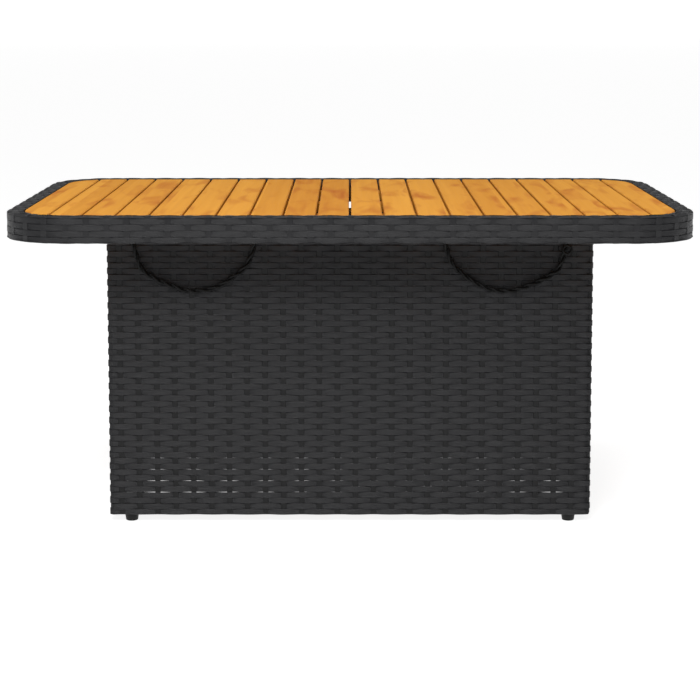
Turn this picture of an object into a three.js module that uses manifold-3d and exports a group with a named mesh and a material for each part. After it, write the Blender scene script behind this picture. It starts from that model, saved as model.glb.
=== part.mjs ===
// A wicker coffee table: a slatted wooden top in a woven rim, bolted down on a woven box base.
// Units are millimetres and +Z is up. The origin is on the floor, under the middle of the table,
// and the long side runs along X.
import * as THREE from "three";
import { mergeVertices } from "three/addons/utils/BufferGeometryUtils.js";
import Module from "manifold-3d";

// ---- Driving dimensions ----
const HEIGHT = 512;
const TOP = { width: 1100, depth: 680, corner: 107 };
const RIM = { width: 27, height: 44, skin: 3.5, edge: 4 };
const SLAT = { count: 20, width: 49, gap: 3.6, thick: 12, below_rim: 1, edge: 1.5, clearance: 1 };
const BATTEN = { width: 45, thick: 14, rows: { front: -200, middle: 0, back: 200 }, inner_end: 4 };
const BAR = { width: 20, height: 13, x: [-300, -32, 32, 300] };
const BASE = { width: 784, depth: 484, bottom: 12, top: 464, skin: 3, corner: 4 };
const POST = 25;
const WALL = 1.5;
const TUBE_EDGE = 2;
const BRACE = { x: 246, half_width: 98, depth: 54, diameter: 6 };
const FOOT = { from_end: 35, pad: 22.6, toe: 18.5, stud: 8, stud_top: 36, flange: 1.8, boss: 12.6 };
const BOLT = { diameter: 8, across_flats: 13, head: 5.3, top: 482 };
const PAD = { width: 30, height: 5 };
const GAP = 0.3; // air left between touching pieces
const HOLE = 0.6; // how much wider a hole is than its bolt or stud

// ---- Sizes that follow from them ----
const OPENING = { width: TOP.width - 2 * RIM.width, depth: TOP.depth - 2 * RIM.width };
const OPENING_CORNER = TOP.corner - RIM.width;
const RIM_BOTTOM = HEIGHT - RIM.height;
const SLAT_TOP = RIM.height - SLAT.below_rim;
const SLAT_BOTTOM = SLAT_TOP - SLAT.thick;
const BATTEN_BOTTOM = SLAT_BOTTOM - BATTEN.thick;
const BAR_BOTTOM = BATTEN_BOTTOM - BAR.height;
const POST_Z = [BASE.bottom + BASE.skin, BASE.top - BASE.skin];
const FRAME = { x: BASE.width / 2 - BASE.skin, y: BASE.depth / 2 - BASE.skin };
const RAIL = { x: FRAME.x - POST / 2, y: FRAME.y - POST / 2 };
const FOOT_X = BASE.width / 2 - FOOT.from_end;

// ---- Materials ----
const reed = new THREE.MeshStandardMaterial({ color: 0x2b2b2d, roughness: 0.55, metalness: 0 });
const acacia = new THREE.MeshStandardMaterial({ color: 0xc8853a, roughness: 0.5, metalness: 0 });
const steel = new THREE.MeshStandardMaterial({ color: 0x1c1c1e, roughness: 0.45, metalness: 0.2 });
const zinc = new THREE.MeshStandardMaterial({ color: 0x9a9da0, roughness: 0.35, metalness: 0.9 });
const plastic = new THREE.MeshStandardMaterial({ color: 0x19191a, roughness: 0.6, metalness: 0 });

// ---- Solids: closed geometry joined and cut as manifolds ----
const wasm = await Module();
wasm.setup();

function solid(geometry) {
  const bare = geometry.index ? geometry.toNonIndexed() : geometry.clone();
  bare.deleteAttribute("normal");
  bare.deleteAttribute("uv");
  const merged = mergeVertices(bare, 1e-3);
  return new wasm.Manifold(
    new wasm.Mesh({
      numProp: 3,
      vertProperties: merged.attributes.position.array,
      triVerts: new Uint32Array(merged.index.array),
    }),
  );
}

function geometryOf(manifold) {
  const mesh = manifold.getMesh();
  const geometry = new THREE.BufferGeometry();
  geometry.setAttribute("position", new THREE.BufferAttribute(mesh.vertProperties, 3));
  geometry.setIndex(new THREE.BufferAttribute(mesh.triVerts, 1));
  geometry.computeVertexNormals();
  return geometry;
}

function piece(name, shape, material, position = [0, 0, 0]) {
  const geometry = shape.isBufferGeometry ? shape : geometryOf(shape);
  const mesh = new THREE.Mesh(geometry, material);
  mesh.name = name;
  mesh.position.set(...position);
  return mesh;
}

function block(low, high) {
  const size = high.map((value, axis) => value - low[axis]);
  const middle = high.map((value, axis) => (value + low[axis]) / 2);
  return solid(new THREE.BoxGeometry(...size).translate(...middle));
}

function rod(diameter, low, high, x = 0, y = 0, sides = 16) {
  const geometry = new THREE.CylinderGeometry(diameter / 2, diameter / 2, high - low, sides);
  return solid(geometry.rotateX(Math.PI / 2).translate(x, y, (low + high) / 2));
}

// ---- Outlines ----
function traceRoundedRectangle(path, width, depth, radius) {
  const x = width / 2 - radius;
  const y = depth / 2 - radius;
  path.moveTo(x + radius, -y);
  path.lineTo(x + radius, y);
  path.absarc(x, y, radius, 0, Math.PI / 2);
  path.lineTo(-x, y + radius);
  path.absarc(-x, y, radius, Math.PI / 2, Math.PI);
  path.lineTo(-x - radius, -y);
  path.absarc(-x, -y, radius, Math.PI, 1.5 * Math.PI);
  path.lineTo(x, -y - radius);
  path.absarc(x, -y, radius, 1.5 * Math.PI, 2 * Math.PI);
  return path;
}

function roundedRectangle(width, depth, radius) {
  return traceRoundedRectangle(new THREE.Shape(), width, depth, radius);
}

// A flat ring of the top's outline, from one inset to another.
function ringShape(outer_inset, inner_inset) {
  const outline = (path, inset) =>
    traceRoundedRectangle(path, TOP.width - 2 * inset, TOP.depth - 2 * inset, TOP.corner - inset);
  const shape = outline(new THREE.Shape(), outer_inset);
  shape.holes.push(outline(new THREE.Path(), inner_inset));
  return shape;
}

function upright(shape, low, high, options = {}) {
  const depth = high - low;
  const geometry = new THREE.ExtrudeGeometry(shape, {
    depth,
    bevelEnabled: false,
    curveSegments: 8,
    ...options,
  });
  return solid(geometry.translate(0, 0, low));
}

// A square or flat tube, open at both ends, standing on the floor of its own frame.
function tube(width, depth, length) {
  const shape = roundedRectangle(width, depth, TUBE_EDGE);
  const inside = new THREE.Path();
  traceRoundedRectangle(inside, width - 2 * WALL, depth - 2 * WALL, TUBE_EDGE / 2);
  shape.holes.push(inside);
  return upright(shape, 0, length, { curveSegments: 2 });
}

// ---- The top ----
// Its frame is the middle of the rim's underside.
function crossBars() {
  const reach = TOP.depth / 2 - RIM.skin - tubeWidth() - GAP;
  return BAR.x.map((x, index) => {
    let bar = tube(BAR.width, BAR.height, 2 * reach).rotate([90, 0, 0]);
    bar = bar.translate([x, reach, BAR_BOTTOM + BAR.height / 2]);
    if (Math.abs(x) > BASE.width / 4) {
      for (const side of [-1, 1]) bar = withPad(bar, x, side * RAIL.y);
    }
    return piece("top_cross_bar_" + (index + 1), bar, steel);
  });
}

// The welded pad that holds the bar clear of the base, with its bolt hole.
function withPad(bar, x, y) {
  const half = PAD.width / 2;
  const low = BASE.top + GAP - RIM_BOTTOM;
  const pad = block([x - BAR.width / 2, y - half, low], [x + BAR.width / 2, y + half, BAR_BOTTOM + 1]);
  const hole = rod(BOLT.diameter + HOLE, low - 1, BAR_BOTTOM + BAR.height / 2, x, y);
  return bar.add(pad).subtract(hole);
}

function tubeWidth() {
  return RIM.width - 2 * RIM.skin;
}

// The steel ring inside the woven rim, a bent flat tube, open to the cross bars at their ends.
function rimTube() {
  const low = RIM.skin;
  const high = RIM.height - RIM.skin;
  const inner = RIM.width - RIM.skin;
  let ring = upright(ringShape(RIM.skin, inner), low, high);
  ring = ring.subtract(upright(ringShape(RIM.skin + WALL, inner - WALL), low + WALL, high - WALL));
  for (const x of BAR.x) {
    for (const side of [-1, 1]) {
      const vent = new THREE.CylinderGeometry(3, 3, 2 * RIM.skin, 10);
      const y = side * (TOP.depth / 2 - inner);
      ring = ring.subtract(solid(vent.translate(x, y, BAR_BOTTOM + BAR.height / 2)));
    }
  }
  return piece("rim_tube", ring, steel);
}

// The woven skin wraps the steel ring all round. The bars and battens reach the ring through slots.
function rimWeave() {
  const bevel = {
    bevelEnabled: true,
    bevelThickness: RIM.edge,
    bevelSize: RIM.edge,
    bevelOffset: -RIM.edge,
    bevelSegments: 2,
    depth: RIM.height - 2 * RIM.edge,
  };
  const inner = RIM.width - RIM.skin;
  let skin = upright(ringShape(0, RIM.width), 0, 0, bevel).translate([0, 0, RIM.edge]);
  skin = skin.subtract(
    upright(ringShape(RIM.skin - GAP, inner + GAP), RIM.skin - GAP, RIM.height - RIM.skin + GAP),
  );
  const half = BAR.width / 2 + GAP;
  for (const x of BAR.x) {
    for (const side of [-1, 1]) {
      const ends = [side * (OPENING.depth / 2 - 10), side * (TOP.depth / 2 - inner + 1)];
      ends.sort((a, b) => a - b);
      skin = skin.subtract(
        block(
          [x - half, ends[0], BAR_BOTTOM - GAP],
          [x + half, ends[1], BATTEN_BOTTOM + GAP],
        ),
      );
    }
  }
  const half_batten = BATTEN.width / 2 + GAP;
  for (const side of [-1, 1]) {
    for (const y of Object.values(BATTEN.rows)) {
      const ends = [side * (OPENING.width / 2 - 10), side * (TOP.width / 2 - inner + 1)];
      ends.sort((a, b) => a - b);
      skin = skin.subtract(
        block(
          [ends[0], y - half_batten, BATTEN_BOTTOM - GAP],
          [ends[1], y + half_batten, SLAT_BOTTOM + GAP],
        ),
      );
    }
  }
  return piece("rim_weave", skin, reed);
}

// How far a slat may reach at x before it meets the rim's rounded opening.
function reachAt(x) {
  const radius = OPENING_CORNER - SLAT.clearance;
  const straight = OPENING.width / 2 - OPENING_CORNER;
  const into_corner = Math.max(0, Math.abs(x) - straight);
  const lost = radius - Math.sqrt(Math.max(0, radius * radius - into_corner * into_corner));
  return OPENING.depth / 2 - SLAT.clearance - lost;
}

function slatShape(left, right) {
  const steps = reachAt(left) === reachAt(right) ? 1 : 8;
  const along = (index) => left + ((right - left) * index) / steps;
  const shape = new THREE.Shape();
  shape.moveTo(left, -reachAt(left));
  for (let i = 1; i <= steps; i++) shape.lineTo(along(i), -reachAt(along(i)));
  for (let i = steps; i >= 0; i--) shape.lineTo(along(i), reachAt(along(i)));
  shape.closePath();
  return shape;
}

function slats() {
  const pitch = SLAT.width + SLAT.gap;
  const end = OPENING.width / 2 - SLAT.clearance;
  const made = [];
  for (let i = 0; i < SLAT.count; i++) {
    const middle = (i + 0.5 - SLAT.count / 2) * pitch;
    const left = Math.max(middle - SLAT.width / 2, -end);
    const right = Math.min(middle + SLAT.width / 2, end);
    const plank = upright(slatShape(left, right), 0, 0, {
      bevelEnabled: true,
      bevelThickness: SLAT.edge,
      bevelSize: SLAT.edge,
      bevelOffset: -SLAT.edge,
      bevelSegments: 1,
      depth: SLAT.thick - GAP - 2 * SLAT.edge,
    });
    const name = "slat_" + String(i + 1).padStart(2, "0");
    made.push(piece(name, plank, acacia, [0, 0, SLAT_BOTTOM + GAP + SLAT.edge]));
  }
  return made;
}

// The battens butt against the steel ring, and screws through it hold their ends.
function battens() {
  const outer_end = TOP.width / 2 - RIM.skin - tubeWidth() - GAP;
  const made = [];
  for (const [side, sign] of [["left", -1], ["right", 1]]) {
    for (const [row, y] of Object.entries(BATTEN.rows)) {
      const ends = [sign * BATTEN.inner_end, sign * outer_end].sort((a, b) => a - b);
      const half = BATTEN.width / 2;
      const low = [ends[0], y - half, BATTEN_BOTTOM];
      const high = [ends[1], y + half, SLAT_BOTTOM];
      made.push(piece("batten_" + row + "_" + side, block(low, high), acacia));
    }
  }
  return made;
}

// ---- The base ----
// Its frame is the floor under the middle of the table.
const CORNERS = [
  ["front_left", -1, -1],
  ["front_right", 1, -1],
  ["back_left", -1, 1],
  ["back_right", 1, 1],
];

function posts() {
  const length = POST_Z[1] - POST_Z[0] - 2 * GAP;
  return CORNERS.map(([name, x, y]) =>
    piece("post_" + name, tube(POST, POST, length), steel, [x * RAIL.x, y * RAIL.y, POST_Z[0] + GAP]),
  );
}

function longRail(length) {
  return tube(POST, POST, length).translate([0, 0, -length / 2]).rotate([0, 90, 0]);
}

function rails() {
  const long = 2 * (FRAME.x - POST - GAP);
  const short = 2 * (FRAME.y - POST - GAP);
  const low = POST_Z[0] + GAP + POST / 2;
  const high = POST_Z[1] - GAP - POST / 2;
  const made = [];
  for (const [row, y] of [["front", -1], ["back", 1]]) {
    let top = longRail(long);
    for (const x of [BAR.x[0], BAR.x[3]]) top = top.subtract(rod(BOLT.diameter + HOLE, -POST, POST, x));
    made.push(piece("rail_top_" + row, top, steel, [0, y * RAIL.y, high]));
    let bottom = longRail(long);
    for (const x of [-FOOT_X, FOOT_X]) {
      bottom = bottom.add(rod(FOOT.boss, -POST / 2 + WALL / 2, 0, x));
      bottom = bottom.subtract(rod(FOOT.stud + HOLE, -POST, POST / 2 - WALL, x));
    }
    made.push(piece("rail_bottom_" + row, bottom, steel, [0, y * RAIL.y, low]));
  }
  for (const [row, x] of [["left", -1], ["right", 1]]) {
    for (const [level, z] of [["top", high], ["bottom", low]]) {
      const rail = longRail(short).rotate([0, 0, 90]);
      made.push(piece("rail_" + level + "_" + row, rail, steel, [x * RAIL.x, 0, z]));
    }
  }
  return made;
}

// Bent rods behind the weave, welded under the top rails, that the woven sides are lashed to.
function braces() {
  const top = POST_Z[1] - 2 * GAP - POST;
  const points = [];
  const STEPS = 24;
  for (let i = 0; i <= STEPS; i++) {
    const turn = (Math.PI * i) / STEPS;
    const x = -BRACE.half_width * Math.cos(turn);
    points.push(new THREE.Vector3(x, 0, top - BRACE.depth * Math.sin(turn)));
  }
  const section = new THREE.Shape();
  section.absarc(0, 0, BRACE.diameter / 2, 0, 2 * Math.PI);
  const bent = new THREE.ExtrudeGeometry(section, {
    extrudePath: new THREE.CatmullRomCurve3(points),
    steps: 32,
    curveSegments: 8,
    bevelEnabled: false,
  });
  const ceiling = block([-200, -10, top], [200, 10, top + 50]);
  const rodShape = solid(bent).subtract(ceiling);
  const y = FRAME.y - BRACE.diameter / 2 - 2 * GAP;
  return CORNERS.map(([name, side, row]) =>
    piece("brace_" + name, rodShape, steel, [side * BRACE.x, row * y, 0]),
  );
}

function holesUnder(y, low, high) {
  return [-FOOT_X, FOOT_X].map((x) => rod(FOOT.stud + 2 * HOLE, low, high, x, y));
}

// The woven side of the base: a thin sheet that turns over the top rail and under the bottom rail.
function weaveAlong(half_length, flange_half, half_depth) {
  const inner = half_depth - BASE.skin;
  const flange_end = inner - POST - GAP;
  const face = block([-half_length, -half_depth, BASE.bottom], [half_length, -inner, BASE.top]);
  const over = block([-flange_half, -inner - 1, POST_Z[1]], [flange_half, -flange_end, BASE.top]);
  const under = block([-flange_half, -inner - 1, BASE.bottom], [flange_half, -flange_end, POST_Z[0]]);
  return face.add(over).add(under);
}

function baseWeave() {
  const outline = roundedRectangle(BASE.width, BASE.depth, BASE.corner);
  const rounded = upright(outline, BASE.bottom, BASE.top, { curveSegments: 3 });
  const made = [];
  let front = weaveAlong(BASE.width / 2, FRAME.x - GAP, BASE.depth / 2).intersect(rounded);
  for (const hole of holesUnder(-RAIL.y, 0, POST_Z[0] + 1)) front = front.subtract(hole);
  for (const x of [BAR.x[0], BAR.x[3]]) {
    front = front.subtract(rod(BOLT.diameter + 2 * HOLE, POST_Z[1] - 1, BASE.top + 1, x, -RAIL.y));
  }
  made.push(piece("weave_front", front, reed));
  made.push(piece("weave_back", front.rotate([0, 0, 180]), reed));
  const flange_half = FRAME.y - POST - 2 * GAP;
  const left = weaveAlong(FRAME.y - GAP, flange_half, BASE.width / 2).rotate([0, 0, -90]);
  made.push(piece("weave_left", left, reed));
  made.push(piece("weave_right", left.rotate([0, 0, 180]), reed));
  return made;
}

function topBolts() {
  const head_top = POST_Z[1] - GAP - POST - GAP;
  return CORNERS.map(([name, x, y]) => {
    const head = rod(BOLT.across_flats / Math.cos(Math.PI / 6), head_top - BOLT.head, head_top, 0, 0, 6);
    const shank = rod(BOLT.diameter, head_top - 1, BOLT.top);
    return piece("top_bolt_" + name, head.add(shank), zinc, [x * BAR.x[3], y * RAIL.y, 0]);
  });
}

// A levelling foot: a moulded pad on a threaded stud that screws up into the bottom rail.
function feet() {
  const pad_top = BASE.bottom - GAP;
  const outline = [
    [0, 0],
    [FOOT.toe / 2 - 1, 0],
    [FOOT.toe / 2, 1],
    [FOOT.pad / 2 - 0.6, pad_top - FOOT.flange - 1],
    [FOOT.pad / 2, pad_top - FOOT.flange],
    [FOOT.pad / 2, pad_top],
    [FOOT.stud / 2, pad_top],
    [FOOT.stud / 2, FOOT.stud_top],
    [0, FOOT.stud_top],
  ].map(([x, y]) => new THREE.Vector2(x, y));
  return CORNERS.map(([name, x, y]) => {
    const turned = new THREE.LatheGeometry(outline, 24).rotateX(Math.PI / 2);
    return piece("foot_" + name, solid(turned), plastic, [x * FOOT_X, y * RAIL.y, 0]);
  });
}

// ---- The table ----
const top = new THREE.Group();
top.position.z = RIM_BOTTOM;
top.add(rimTube(), rimWeave(), ...crossBars(), ...battens(), ...slats());

const base = new THREE.Group();
base.add(...posts(), ...rails(), ...braces(), ...baseWeave(), ...topBolts(), ...feet());

const table = new THREE.Group();
table.add(top, base);
export default table;
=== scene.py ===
import math

import bpy
import numpy as np
from mathutils import Matrix, Vector


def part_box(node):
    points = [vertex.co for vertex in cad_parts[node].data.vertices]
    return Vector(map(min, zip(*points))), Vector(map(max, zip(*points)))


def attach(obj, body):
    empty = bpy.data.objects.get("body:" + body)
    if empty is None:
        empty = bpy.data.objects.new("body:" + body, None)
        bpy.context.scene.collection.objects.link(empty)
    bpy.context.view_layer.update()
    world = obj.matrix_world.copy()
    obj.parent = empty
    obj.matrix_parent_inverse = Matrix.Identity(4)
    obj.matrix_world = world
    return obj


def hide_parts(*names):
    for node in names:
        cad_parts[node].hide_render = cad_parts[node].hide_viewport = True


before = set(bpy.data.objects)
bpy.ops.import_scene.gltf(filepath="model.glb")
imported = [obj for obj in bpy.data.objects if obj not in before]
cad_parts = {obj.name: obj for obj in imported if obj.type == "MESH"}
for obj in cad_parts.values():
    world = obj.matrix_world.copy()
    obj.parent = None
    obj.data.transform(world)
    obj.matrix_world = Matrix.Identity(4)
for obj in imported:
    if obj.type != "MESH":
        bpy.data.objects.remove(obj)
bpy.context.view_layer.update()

# ---- The woven sides of the base ----
# Flat plastic reed goes round the box in level rows, over one upright reed and under the next,
# each row opposite to its neighbour, straight onto the steel frame. In places every second row
# sags, which leaves slits, mostly near the bottom.
front_low, front_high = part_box("weave_front")
REED = 0.001  # thickness of one reed
PRESSED = 0.0014  # the level reeds are a little thicker, and press on the uprights
ROWS = 48
BAND_ROWS = 12  # the rows are modelled in bands of this many
UPRIGHTS = 86
WEAVE_START = 0.0125  # how far the weave starts before the path does
UNEVEN = 0.0005  # how far the rows wander up and down
MOST_SAG = 0.00085  # how far the loosest row sags
SEAM = 1e-5  # points nearer than this are merged
base_height = front_high.z - front_low.z
row_pitch = base_height / ROWS
reed_width = 1.015 * row_pitch  # a row laps a little over the next
side_depth = 3 * REED


def begin(name, low, high):
    """Adds a box between two corners and leaves it alone in edit mode."""
    bpy.ops.object.select_all(action="DESELECT")
    low, high = Vector(low), Vector(high)
    bpy.ops.mesh.primitive_cube_add(size=1, location=(low + high) / 2, scale=high - low)
    bpy.ops.object.transform_apply(location=True, rotation=True, scale=True)
    made = bpy.context.object
    made.name = made.data.name = name
    bpy.ops.object.mode_set(mode="EDIT")
    bpy.ops.mesh.select_all(action="DESELECT")
    return made


def select(kind, test):
    """Selects the open mesh's verts, edges or faces that pass a test on their middle and run."""
    bpy.ops.object.mode_set(mode="OBJECT")
    mesh = bpy.context.object.data
    place = [v.co.copy() for v in mesh.vertices]
    for group in (mesh.vertices, mesh.edges, mesh.polygons):
        group.foreach_set("select", [False] * len(group))
    if kind == "verts":
        for v in mesh.vertices:
            v.select = test(v.co, None)
    elif kind == "edges":
        for e in mesh.edges:
            a, b = (place[i] for i in e.vertices)
            e.select = test((a + b) / 2, (b - a).normalized())
    else:
        for f in mesh.polygons:
            f.select = test(f.center, f.normal)
    flags = [kind == each for each in ("verts", "edges", "faces")]
    bpy.context.tool_settings.mesh_select_mode = flags
    bpy.ops.object.mode_set(mode="EDIT")


def modify(piece, kind, **settings):
    """Adds a modifier to a piece and applies it."""
    bpy.context.view_layer.objects.active = piece
    modifier = piece.modifiers.new(kind, kind)
    for key, value in settings.items():
        setattr(modifier, key, value)
    bpy.ops.object.modifier_apply(modifier=modifier.name)


def bent_reed(name, length, width, wave, thick=REED, steps=12):
    """One weave of reed along X, from over an upright to over the one after next."""
    strip = begin(name, (0, -thick / 2, -width / 2), (length, thick / 2, width / 2))
    select("faces", lambda at, normal: abs(normal.x) > 0.9)
    bpy.ops.mesh.delete(type="ONLY_FACE")
    select("edges", lambda at, run: abs(run.x) > 0.9 and at.y < 0)
    bpy.ops.mesh.bevel(offset=0.4 * thick, segments=1)
    select("edges", lambda at, run: abs(run.x) > 0.9)
    bpy.ops.mesh.subdivide(number_cuts=steps - 1)
    for i in range(steps + 1):
        x = length * i / steps
        select("verts", lambda at, run: abs(at.x - x) < 0.1 * length / steps)
        out = -wave * math.sin(2 * math.pi * i / steps)
        bpy.ops.transform.translate(value=(0, out, 0))
    bpy.ops.object.mode_set(mode="OBJECT")
    return strip


def join(name, pieces):
    """Makes one piece of several."""
    bpy.ops.object.select_all(action="DESELECT")
    for piece in pieces:
        piece.select_set(True)
    bpy.context.view_layer.objects.active = pieces[0]
    bpy.ops.object.join()
    pieces[0].name = pieces[0].data.name = name
    return pieces[0]


def drop(*pieces):
    for piece in pieces:
        bpy.data.objects.remove(piece)


def loop_path(name, width, depth, corner):
    """A closed path round a rectangle with rounded corners, anticlockwise from above."""
    bpy.ops.object.select_all(action="DESELECT")
    bpy.ops.mesh.primitive_plane_add(size=1)
    bpy.context.object.scale = (width, depth, 1)
    bpy.ops.object.transform_apply(location=False, rotation=False, scale=True)
    bpy.ops.object.mode_set(mode="EDIT")
    bpy.ops.mesh.bevel(affect="VERTICES", offset=corner, segments=16)
    select("edges", lambda at, run: max(abs(run.x), abs(run.y)) > 0.9999)
    bpy.ops.mesh.subdivide(number_cuts=99)
    bpy.ops.mesh.select_all(action="SELECT")
    bpy.ops.mesh.delete(type="ONLY_FACE")
    bpy.ops.object.mode_set(mode="OBJECT")
    bpy.ops.object.convert(target="CURVE")
    path = bpy.context.object
    path.name = name
    points = [p.co.xyz for p in path.data.splines[0].points]
    around = list(zip(points, points[1:] + points[:1]))
    if sum(a.x * b.y - b.x * a.y for a, b in around) < 0:
        bpy.ops.object.mode_set(mode="EDIT")
        bpy.ops.curve.select_all(action="SELECT")
        bpy.ops.curve.switch_direction()
        bpy.ops.object.mode_set(mode="OBJECT")
    path["length"] = sum((b - a).length for a, b in around)
    return path


def follow(piece, path):
    """Bends a straight piece that runs along X round a path."""
    modify(piece, "CURVE", object=path, deform_axis="POS_X")


def mark_lay(piece, width, row):
    """Notes on each vertex of a reed how far along it is, how far across, and in which row."""
    lay = piece.data.attributes.new("lay", "FLOAT_VECTOR", "POINT")
    for v, item in zip(piece.data.vertices, lay.data):
        item.vector = (v.co.x, v.co.z / width, row)


def count_rows(piece, pitch, base):
    """Corrects the marks of a pair of rows that was repeated along and up, and returns the rows."""
    mesh = piece.data
    lay = mesh.attributes["lay"].data
    place, marks = np.zeros(3 * len(mesh.vertices)), np.zeros(3 * len(mesh.vertices))
    mesh.vertices.foreach_get("co", place)
    lay.foreach_get("vector", marks)
    place, marks = place.reshape(-1, 3), marks.reshape(-1, 3)
    marks[:, 0] = place[:, 0]
    marks[:, 2] += 2 * np.round(((place[:, 2] - base) / pitch - marks[:, 2] - 0.5) / 2)
    lay.foreach_set("vector", marks.ravel())
    return marks[:, 2]


def close_seams(piece):
    """Merges the ends of the weaves, which meet all round."""
    bpy.context.view_layer.objects.active = piece
    bpy.ops.object.mode_set(mode="EDIT")
    bpy.ops.mesh.select_all(action="SELECT")
    bpy.ops.mesh.remove_doubles(threshold=SEAM)
    bpy.ops.object.mode_set(mode="OBJECT")


base_width = 2 * front_high.x
base_depth = 2 * abs(front_low.y)
base_corner = 0.006
base_path = loop_path(
    "base_path", base_width - side_depth, base_depth - side_depth, base_corner - side_depth / 2
)
weave_length = 2 * base_path["length"] / UPRIGHTS
unevenness = bpy.data.textures.new("unevenness", "CLOUDS")
unevenness.noise_scale = 0.03
looseness = bpy.data.textures.new("looseness", "CLOUDS")
looseness.noise_scale = 0.16
looseness.contrast = 3
looseness.intensity = 1.15


def sag(row):
    """How loose a row is, as a share of the loosest. The lowest rows are the loosest."""
    return min(1, max(0.25, 1.45 - 0.15 * row))


def woven_band(number):
    """A band of rows. In places every second row sags, and leaves a slit above it."""
    over = bent_reed("over", weave_length, reed_width, REED, PRESSED)
    under = bent_reed("under", weave_length, reed_width, -REED, PRESSED)
    mark_lay(over, reed_width, 0)
    mark_lay(under, reed_width, 1)
    under.data.transform(Matrix.Translation((0, 0, row_pitch)))
    band = join(f"side_weave_{number + 1}", [over, under])
    first = number * BAND_ROWS
    low = front_low.z + row_pitch * (0.5 + first)
    band.data.transform(Matrix.Translation((-WEAVE_START, 0, low)))
    modify(
        band, "ARRAY", count=UPRIGHTS // 2, use_relative_offset=False,
        use_constant_offset=True, constant_offset_displace=(weave_length, 0, 0),
        use_merge_vertices=True, merge_threshold=SEAM,
    )
    modify(
        band, "ARRAY", count=BAND_ROWS // 2, use_relative_offset=False,
        use_constant_offset=True, constant_offset_displace=(0, 0, 2 * row_pitch),
    )
    rows = count_rows(band, row_pitch, front_low.z)
    loose = band.vertex_groups.new(name="loose")
    for row in range(first + 1, first + BAND_ROWS, 2):
        loose.add(np.flatnonzero(rows == row).tolist(), sag(row), "REPLACE")
    follow(band, base_path)
    close_seams(band)
    modify(band, "DISPLACE", texture=unevenness, texture_coords="LOCAL", direction="Z",
           strength=UNEVEN, mid_level=0.5)
    modify(band, "DISPLACE", texture=looseness, texture_coords="LOCAL", direction="Z",
           strength=MOST_SAG, mid_level=1, vertex_group="loose")
    band.vertex_groups.clear()
    return band


side_bands = [woven_band(number) for number in range(ROWS // BAND_ROWS)]

upright_width = 0.0088
stake = begin(
    "stake", (-upright_width / 2, -REED / 2, front_low.z + 0.002),
    (upright_width / 2, REED / 2, front_high.z - 0.001),
)
select("edges", lambda at, run: abs(run.z) > 0.9 and at.y < 0)
bpy.ops.mesh.bevel(offset=0.4 * REED, segments=1)
bpy.ops.object.mode_set(mode="OBJECT")


def mark_across(piece, width):
    """Notes how far along and across it each vertex of a crosswise reed is."""
    lay = piece.data.attributes.new("lay", "FLOAT_VECTOR", "POINT")
    middle = sum(v.co.x for v in piece.data.vertices) / len(piece.data.vertices)
    for v, item in zip(piece.data.vertices, lay.data):
        item.vector = (v.co.z + v.co.y, (v.co.x - middle) / width, 0)


mark_across(stake, upright_width)
stake.data.transform(Matrix.Translation((weave_length / 4 - WEAVE_START, 0, 0)))
modify(
    stake, "ARRAY", count=UPRIGHTS, use_relative_offset=False, use_constant_offset=True,
    constant_offset_displace=(weave_length / 2, 0, 0),
)
follow(stake, base_path)


class Number:
    """A number in a material. Plain arithmetic on it adds the Math nodes."""

    def __init__(self, finish, socket):
        self.finish, self.socket = finish, socket

    def _math(self, operation, a, b):
        return self.finish.add("Math", {"operation": operation}, {0: a, 1: b}, 0)

    def __add__(self, other):
        return self._math("ADD", self, other)

    __radd__ = __add__

    def __sub__(self, other):
        return self._math("SUBTRACT", self, other)

    def __rsub__(self, other):
        return self._math("SUBTRACT", other, self)

    def __mul__(self, other):
        return self._math("MULTIPLY", self, other)

    __rmul__ = __mul__

    def __truediv__(self, other):
        return self._math("DIVIDE", self, other)

    def __rtruediv__(self, other):
        return self._math("DIVIDE", other, self)


class Finish:
    """A material on one shader, with its nodes added one by one."""

    def __init__(self, name, **plain):
        self.material = bpy.data.materials.new(name)
        self.material.use_nodes = True
        self.nodes = self.material.node_tree.nodes
        self.links = self.material.node_tree.links
        self.shader = self.nodes["Principled BSDF"]
        for key, value in plain.items():
            self.shader.inputs[key.replace("_", " ")].default_value = value

    def plug(self, node, sockets):
        for key, value in sockets.items():
            if isinstance(value, Number):
                self.links.new(value.socket, node.inputs[key])
            else:
                node.inputs[key].default_value = value

    def add(self, kind, settings, sockets, out):
        node = self.nodes.new("ShaderNode" + kind)
        for key, value in settings.items():
            setattr(node, key, value)
        self.plug(node, sockets)
        return Number(self, node.outputs[out])

    def math(self, operation, a, b=0.0):
        return self.add("Math", {"operation": operation}, {0: a, 1: b}, 0)

    def blend(self, share, first, second):
        return self.add("Mix", {"data_type": "RGBA"}, {0: share, 6: first, 7: second}, 2)

    def place(self):
        """The point on the piece, as three numbers in metres."""
        return self.split(self.add("TexCoord", {}, {}, "Object"))

    def split(self, vector):
        apart = self.add("SeparateXYZ", {}, {0: vector}, 0).socket.node
        return [Number(self, output) for output in apart.outputs]

    def noise(self, x, y, z, detail=3.0, distortion=0.0):
        vector = self.add("CombineXYZ", {}, {0: x, 1: y, 2: z}, 0)
        sockets = {"Vector": vector, "Scale": 1.0, "Detail": detail, "Distortion": distortion}
        return self.add("TexNoise", {}, sockets, 0)

    def bump(self, height, distance, strength=0.6):
        sockets = {"Strength": strength, "Distance": distance, "Height": height}
        return self.add("Bump", {}, sockets, 0)

    def finish(self, **varying):
        self.plug(self.shader, {key.replace("_", " "): value for key, value in varying.items()})
        return self.material


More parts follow.
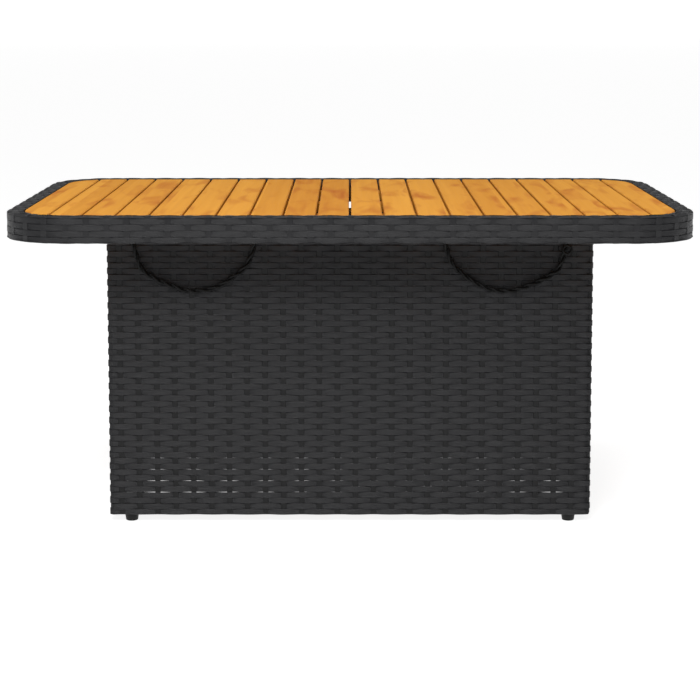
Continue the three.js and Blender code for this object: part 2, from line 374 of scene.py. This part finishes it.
def reed_finish(name, dark, light, sheen=0.235):
    """Charcoal plastic reed: rounded edges, fine grooves along it, and a soft sheen."""
    f = Finish(name, Metallic=0.0, Specular_IOR_Level=sheen)
    along, across, row = f.split(f.add("Attribute", {"attribute_name": "lay"}, {}, "Vector"))
    x, y, z = f.place()
    streak = f.noise(along * 27, across * 15 + row * 11.1, row * 3)
    patch = f.noise(x * 55, y * 55, z * 55)
    scuff = f.noise(x * 900, y * 900, z * 900)
    grooves = f.math("SINE", across * 38)
    colour = f.blend(streak * 0.7 + patch * 0.5 - 0.1, (*dark, 1), (*light, 1))
    crown = 1 - f.math("POWER", f.math("ABSOLUTE", across * 2), 5)  # flat, with round edges
    height = crown * 2.4 + grooves * 1.3 + streak * 1.2 + scuff * 0.4
    return f.finish(
        Base_Color=colour, Roughness=streak * 0.3 + 0.26, Normal=f.bump(height, 0.00035)
    )


woven_reed = reed_finish("woven_reed", (0.010, 0.010, 0.011), (0.023, 0.023, 0.025))
# The uprights are the same reed as the rows, but get a darker colour: painted shade for the
# recessed pockets where the rows cross them.
shaded_upright_reed = reed_finish("shaded_upright_reed", (0.007, 0.007, 0.007), (0.016, 0.016, 0.017), 0.2)


def dress(piece, material, body, slot, *nodes):
    """Gives a piece its material and its body, and hides the CAD nodes that it stands for. The slot
    argument is not used.
    """
    piece.data.materials.clear()
    piece.data.materials.append(material)
    bpy.ops.object.select_all(action="DESELECT")
    piece.select_set(True)
    bpy.context.view_layer.objects.active = piece
    bpy.ops.object.shade_smooth_by_angle(angle=math.radians(40))
    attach(piece, body)
    if nodes:
        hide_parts(*nodes)


WOVEN_SIDES = ("weave_front", "weave_back", "weave_left", "weave_right")
for band in side_bands:
    dress(band, woven_reed, "table", "reed", *WOVEN_SIDES)
dress(stake, shaded_upright_reed, "table", "reed")
stake.name = stake.data.name = "side_uprights"
drop(base_path)

# ---- The woven rim ----
# The same reed is woven lengthwise round the steel ring that holds the slats: four rows on the
# outer face, three on top, and the same inside and below. Short reeds wrap the ring crosswise.
rim_low, rim_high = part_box("rim_weave")
RIM_WRAPS = 104
RIM_START = -0.0099  # where along the path the first weave starts
RIM_CORNER = 0.107
RIM_REED = 0.0007  # thickness of the thinner reed used here
rim_width = 0.027
rim_height = rim_high.z - rim_low.z
half_rim = rim_width / 2
rim_path = loop_path(
    "rim_path", rim_high.x - rim_low.x - rim_width, rim_high.y - rim_low.y - rim_width,
    RIM_CORNER - half_rim,
)
wrap_length = 2 * rim_path["length"] / RIM_WRAPS
rim_pitch = 0.0099
rim_reed = 0.0094  # width of a row on the outer and inner face
top_reed = 0.0086  # width of a row on top and below
lowest, highest = 0.0060, 0.0357  # the middles of the outer rows, from the rim's underside
inset = 1.5 * RIM_REED
face = half_rim - inset


def rim_row(number, across, up, turn, width=rim_reed):
    """One row of the rim, placed on the ring's section and turned to lie on its face."""
    wave = -0.75 * RIM_REED if number % 2 else 0.75 * RIM_REED
    row = bent_reed(f"row_{number}", wrap_length, width, wave, RIM_REED)
    mark_lay(row, width, number)
    place = Matrix.Translation((0, across, up)) @ Matrix.Rotation(math.radians(turn), 4, "X")
    row.data.transform(place)
    return row


rows = []
for step in range(4):
    rows.append(rim_row(len(rows), -face, lowest + step * rim_pitch, 0))
top_up = rim_height - inset
for across, up, turn in (
    (-0.0092, top_up - 0.0007, -76), (-0.0004, top_up, -90), (0.0084, top_up - 0.0002, -98),
):
    rows.append(rim_row(len(rows), across, up, turn, top_reed))
for step in range(4):
    rows.append(rim_row(len(rows), face, highest - step * rim_pitch, 180))
for across, up, turn in ((0.0084, inset, 90), (-0.0004, inset, 90), (-0.0092, inset + 0.0007, 76)):
    rows.append(rim_row(len(rows), across, up, turn, top_reed))
rim = join("rim_rows", rows)
rim.data.transform(Matrix.Translation((RIM_START, 0, rim_low.z)))
modify(
    rim, "ARRAY", count=RIM_WRAPS // 2, use_relative_offset=False, use_constant_offset=True,
    constant_offset_displace=(wrap_length, 0, 0), use_merge_vertices=True, merge_threshold=SEAM,
)
follow(rim, rim_path)
modify(rim, "DISPLACE", texture=unevenness, texture_coords="LOCAL", direction="Z",
       strength=UNEVEN, mid_level=0.5)
close_seams(rim)
dress(rim, woven_reed, "table", "reed", "rim_weave")

wrap_width = 0.009
middle = wrap_length / 4 + RIM_START
wrap = begin(
    "rim_wraps", (middle - wrap_width / 2, -face - RIM_REED / 2, rim_low.z + inset - RIM_REED / 2),
    (middle + wrap_width / 2, face + RIM_REED / 2, rim_high.z - inset + RIM_REED / 2),
)
select("faces", lambda at, normal: abs(normal.x) > 0.9)
bpy.ops.mesh.delete(type="ONLY_FACE")
select("edges", lambda at, run: abs(run.x) > 0.9)
bpy.ops.mesh.bevel(offset=0.0028, segments=3)
bpy.ops.object.mode_set(mode="OBJECT")
modify(wrap, "SOLIDIFY", thickness=RIM_REED, offset=-1)
mark_across(wrap, wrap_width)
modify(
    wrap, "ARRAY", count=RIM_WRAPS, use_relative_offset=False, use_constant_offset=True,
    constant_offset_displace=(wrap_length / 2, 0, 0),
)
follow(wrap, rim_path)
# The wraps are the same reed as the rows, but get a lighter colour: painted highlight for the light
# that their edges catch.
wrap_reed_painted_highlight = reed_finish("wrap_reed_painted_highlight", (0.012, 0.012, 0.013), (0.028, 0.028, 0.030))
dress(wrap, wrap_reed_painted_highlight, "table", "reed")
drop(rim_path)

# ---- The twisted lashings ----
# Two-ply lashings of thin black reed hold the woven side to a bent rod behind it. Each hangs in
# a wide U from the top edge, with steeper ends outwards, and it is tied off with a small knot.
LASHING = (  # across and up, from the outer end to the inner one
    (0.350, 0.466), (0.343, 0.440), (0.334, 0.416), (0.318, 0.404), (0.288, 0.390),
    (0.255, 0.381), (0.219, 0.386), (0.187, 0.404), (0.166, 0.423), (0.150, 0.466),
)
PLY = 0.0021  # radius of a ply
TURN = 0.040  # along the lashing, for one full turn of the two plies
KNOT = (0.348, 0.448)
KNOT_RADIUS = 0.0066
STEPS = 22  # rings of points along one turn of a ply


def lashing(name, side, row, knotted):
    """Two plies twisted round each other and laid along the U."""
    bpy.ops.object.select_all(action="DESELECT")
    bpy.ops.curve.primitive_bezier_curve_add()
    path = bpy.context.object
    out = front_low.y - PLY * 1.5
    bends = path.data.splines[0].bezier_points
    bends.add(len(LASHING) - len(bends))
    for bend, (x, z) in zip(bends, LASHING):
        bend.co = (side * x, row * out, z)
        bend.handle_left_type = bend.handle_right_type = "AUTO"
    path.data.resolution_u = 16
    path.data.dimensions = "3D"
    bpy.context.view_layer.update()
    length = path.data.splines[0].calc_length()
    plies = []
    for offset in (-1, 1):
        bpy.ops.object.select_all(action="DESELECT")
        bpy.ops.mesh.primitive_cylinder_add(
            vertices=8, radius=PLY, depth=length, rotation=(0, math.pi / 2, 0),
            location=(length / 2, offset * PLY * 1.05, 0),
        )
        bpy.ops.object.transform_apply(location=True, rotation=True, scale=True)
        ply = bpy.context.object
        select("edges", lambda at, run: abs(run.x) > 0.9)
        bpy.ops.mesh.subdivide(number_cuts=int(length / TURN * STEPS))
        bpy.ops.object.mode_set(mode="OBJECT")
        plies.append(ply)
    made = join(name, plies)
    modify(made, "SIMPLE_DEFORM", deform_method="TWIST", deform_axis="X",
           angle=2 * math.pi * length / TURN)
    lay = made.data.attributes.new("lay", "FLOAT_VECTOR", "POINT")
    for v, item in zip(made.data.vertices, lay.data):
        item.vector = (v.co.x, 0.25 * math.sin(v.co.y / PLY), 5)
    follow(made, path)
    drop(path)
    if knotted:
        bpy.ops.object.select_all(action="DESELECT")
        bpy.ops.mesh.primitive_torus_add(
            major_radius=KNOT_RADIUS, minor_radius=PLY, major_segments=28, minor_segments=8,
            location=(side * KNOT[0], row * (out - PLY), KNOT[1]),
            rotation=(math.radians(80), 0.3, 0),
        )
        bpy.ops.object.transform_apply(location=True, rotation=True, scale=True)
        made = join(name, [made, bpy.context.object])
    return made


# The lashings are darker than the other reed: partly their own black, and partly painted shade, so
# they stay dark where they stand out into the light below the rim.
lashing_reed_black_and_shade = reed_finish("lashing_reed_black_and_shade", (0.003, 0.003, 0.003), (0.009, 0.009, 0.009), 0.12)
for row_name, row in (("front", 1), ("back", -1)):
    for side_name, side in (("left", -1), ("right", 1)):
        tied = lashing(f"lashing_{row_name}_{side_name}", side, row, side == 1)
        dress(tied, lashing_reed_black_and_shade, "table", "reed")

# ---- The slats and battens ----
# Oiled acacia boards, run front to back and screwed from below to six battens. Each board has
# its own tone, with long darker streaks, a few redder patches, and a satin face.


def acacia_finish():
    f = Finish("acacia", Metallic=0.0, Specular_IOR_Level=0.03, Coat_Roughness=0.4)
    x, y, z = f.place()
    board = f.math("FLOOR", x / slat_pitch)
    tone = f.add("TexWhiteNoise", {"noise_dimensions": "1D"}, {"W": board * 1.37}, 0)
    other = f.add("TexWhiteNoise", {"noise_dimensions": "1D"}, {"W": board * 2.11 + 7.3}, 0)
    sway = f.noise(board * 5, y * 5, z * 4, 1.0) * 0.012
    across = x + sway
    fine = f.noise(across * 420, y * 7 + other * 40, z * 300, 5.0)
    streak = f.noise(across * 95, y * 2.4 + tone * 60, z * 60, 4.0, 0.4)
    broad = f.noise(across * 24 + tone * 9, y * 6 + other * 90, z * 20, 2.0, 0.6)
    warm = f.math("MINIMUM", f.math("MAXIMUM", broad * 3.4 - 1.75, 0.0), 0.9)
    share = streak * 0.55 + fine * 0.2 + tone * 0.45 - 0.08
    colour = f.blend(share, (0.44, 0.162, 0.016, 1), (0.67, 0.315, 0.046, 1))
    colour = f.blend(warm, colour, (0.37, 0.098, 0.014, 1))
    height = fine * 0.5 + streak * 0.4
    return f.finish(
        Base_Color=colour, Roughness=0.45 + fine * 0.22, Coat_Weight=streak * 0.015,
        Normal=f.bump(height, 0.0002, 0.4),
    )


slat_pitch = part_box("slat_02")[0].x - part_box("slat_01")[0].x
acacia = acacia_finish()
for name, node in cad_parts.items():
    if name.startswith(("slat_", "batten_")):
        node.data.materials.clear()
        node.data.materials.append(acacia)

# ---- The steel frame ----
# Square and flat steel tubes and bent rods, welded and powder coated black. They are as
# designed, and only get their coating here. The bolts that hold the top are zinc plated.


def coating_finish():
    f = Finish("powder_coat", Metallic=0.0, Specular_IOR_Level=0.5)
    x, y, z = f.place()
    peel = f.noise(x * 700, y * 700, z * 700, 2.0)
    dust = f.noise(x * 30, y * 30, z * 30, 4.0)
    colour = f.blend(dust, (0.010, 0.010, 0.011, 1), (0.020, 0.020, 0.021, 1))
    return f.finish(Base_Color=colour, Roughness=0.35 + dust * 0.2, Normal=f.bump(peel, 0.0002))


def zinc_finish():
    f = Finish("zinc_plate", Metallic=1.0)
    x, y, z = f.place()
    spangle = f.noise(x * 260, y * 260, z * 260, 2.0)
    colour = f.blend(spangle, (0.42, 0.42, 0.40, 1), (0.62, 0.62, 0.60, 1))
    return f.finish(Base_Color=colour, Roughness=0.25 + spangle * 0.25)


coating = coating_finish()
zinc = zinc_finish()
STEEL = ("rim_tube", "top_cross_bar", "post_", "rail_", "brace_")
for starts, metal in ((STEEL, coating), ("top_bolt", zinc)):
    for name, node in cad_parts.items():
        if name.startswith(starts):
            node.data.materials.clear()
            node.data.materials.append(metal)

# ---- The levelling feet ----
# Black moulded plastic pads on threaded studs, screwed into the bottom rails. Each has a short
# straight collar, and tapers to a toe with a rounded edge.


def moulded_finish():
    f = Finish("moulded_plastic", Metallic=0.0, Specular_IOR_Level=0.2)
    x, y, z = f.place()
    grain = f.noise(x * 1500, y * 1500, z * 1500, 2.0)
    scuff = f.noise(x * 120, y * 120, z * 300, 3.0)
    colour = f.blend(scuff, (0.003, 0.003, 0.003, 1), (0.010, 0.010, 0.010, 1))
    return f.finish(Base_Color=colour, Roughness=0.4 + scuff * 0.25, Normal=f.bump(grain, 0.0001))


def copy_to(piece, name, place):
    """A copy with its own mesh, moved and turned by a matrix."""
    made = piece.copy()
    made.data = piece.data.copy()
    made.name = made.data.name = name
    bpy.context.collection.objects.link(made)
    made.data.transform(place)
    return made


moulded = moulded_finish()
CORNERS = ("front_left", "front_right", "back_left", "back_right")
foot_low, foot_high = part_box("foot_front_left")
pad_radius = (foot_high.x - foot_low.x) / 2
pad_top = front_low.z - 0.0003  # just clear of the bottom rail
stud_radius = 0.004
toe_radius = 0.88 * pad_radius
sole_radius = toe_radius - 0.0018


def spread(scale, lift):
    """Extrudes the picked face up by a step and scales its new rim."""
    bpy.ops.mesh.extrude_region_move(TRANSFORM_OT_translate={"value": (0, 0, lift)})
    bpy.ops.transform.resize(value=(scale, scale, 1))


bpy.ops.object.select_all(action="DESELECT")
bpy.ops.mesh.primitive_circle_add(vertices=40, radius=sole_radius, fill_type="NGON")
foot = bpy.context.object
foot.name = foot.data.name = "foot"
bpy.ops.object.mode_set(mode="EDIT")
bpy.ops.mesh.select_all(action="SELECT")
radius, level = sole_radius, 0
for wider, higher in (
    (toe_radius - 0.0006, 0.0004), (toe_radius, 0.0014), (pad_radius - 0.0004, pad_top - 0.0034),
    (pad_radius, pad_top - 0.0028), (pad_radius, pad_top - 0.0005), (pad_radius - 0.0005, pad_top),
    (stud_radius, pad_top), (stud_radius, foot_high.z - 0.0006), (0.003, foot_high.z),
):
    spread(wider / radius, higher - level)
    radius, level = wider, higher
bpy.ops.mesh.select_all(action="SELECT")
bpy.ops.mesh.normals_make_consistent(inside=False)
bpy.ops.object.mode_set(mode="OBJECT")
for corner in CORNERS:
    low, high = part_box("foot_" + corner)
    middle = (low + high) / 2
    made = copy_to(foot, "level_foot_" + corner, Matrix.Translation((middle.x, middle.y, 0)))
    dress(made, moulded, "leveller_" + corner, "foot", "foot_" + corner)
drop(foot)

# ---- The studio ----
# A pale paper floor and a wide curved wall of the same paper, which glow a little to stay even.
# A large soft lamp hangs over the table, and a smaller one stands high in front of it.
bpy.ops.mesh.primitive_plane_add(size=400)
floor = bpy.context.object
floor.name = "floor"
paper = Finish(
    "paper", Base_Color=(0.4, 0.4, 0.4, 1), Roughness=0.9,
    Emission_Color=(1, 1, 1, 1), Emission_Strength=0.87,
)
floor.data.materials.append(paper.material)
bpy.ops.mesh.primitive_cylinder_add(
    vertices=64, radius=60, depth=5, end_fill_type="NOTHING", location=(0, 0, 2.5)
)
wall = bpy.context.object
wall.name = "wall"
select("faces", lambda at, normal: at.y < -20)
bpy.ops.mesh.delete(type="FACE")
bpy.ops.object.mode_set(mode="OBJECT")
wall.data.materials.append(paper.material)

world = bpy.data.worlds.new("studio")
bpy.context.scene.world = world
world.use_nodes = True
world.node_tree.nodes["Background"].inputs["Color"].default_value = (1, 1, 1, 1)
world.node_tree.nodes["Background"].inputs["Strength"].default_value = 0.22


def softbox(name, place, aim, size, power):
    data = bpy.data.lights.new(name, "AREA")
    data.size, data.energy = size, power
    lamp = bpy.data.objects.new(name, data)
    bpy.context.collection.objects.link(lamp)
    lamp.location = place
    lamp.rotation_euler = (Vector(aim) - Vector(place)).to_track_quat("-Z", "Y").to_euler()


softbox("overhead", (0, -0.4, 2.6), (0, 0, 0.4), 2.0, 50)
softbox("front", (-0.6, -2.9, 2.9), (0, 0, 0.3), 1.1, 64)

camera_data = bpy.data.cameras.new("camera")
camera = bpy.data.objects.new("camera", camera_data)
bpy.context.collection.objects.link(camera)
camera.location = (0, -3.23, 0.83)
camera_data.lens = 96.5
camera_data.sensor_width = 36
camera_data.shift_y = -0.195
camera.rotation_euler = (math.radians(90 - 6.19), 0, 0)
camera_data.dof.use_dof = False
bpy.context.scene.camera = camera
bpy.context.scene.view_settings.view_transform = "Standard"
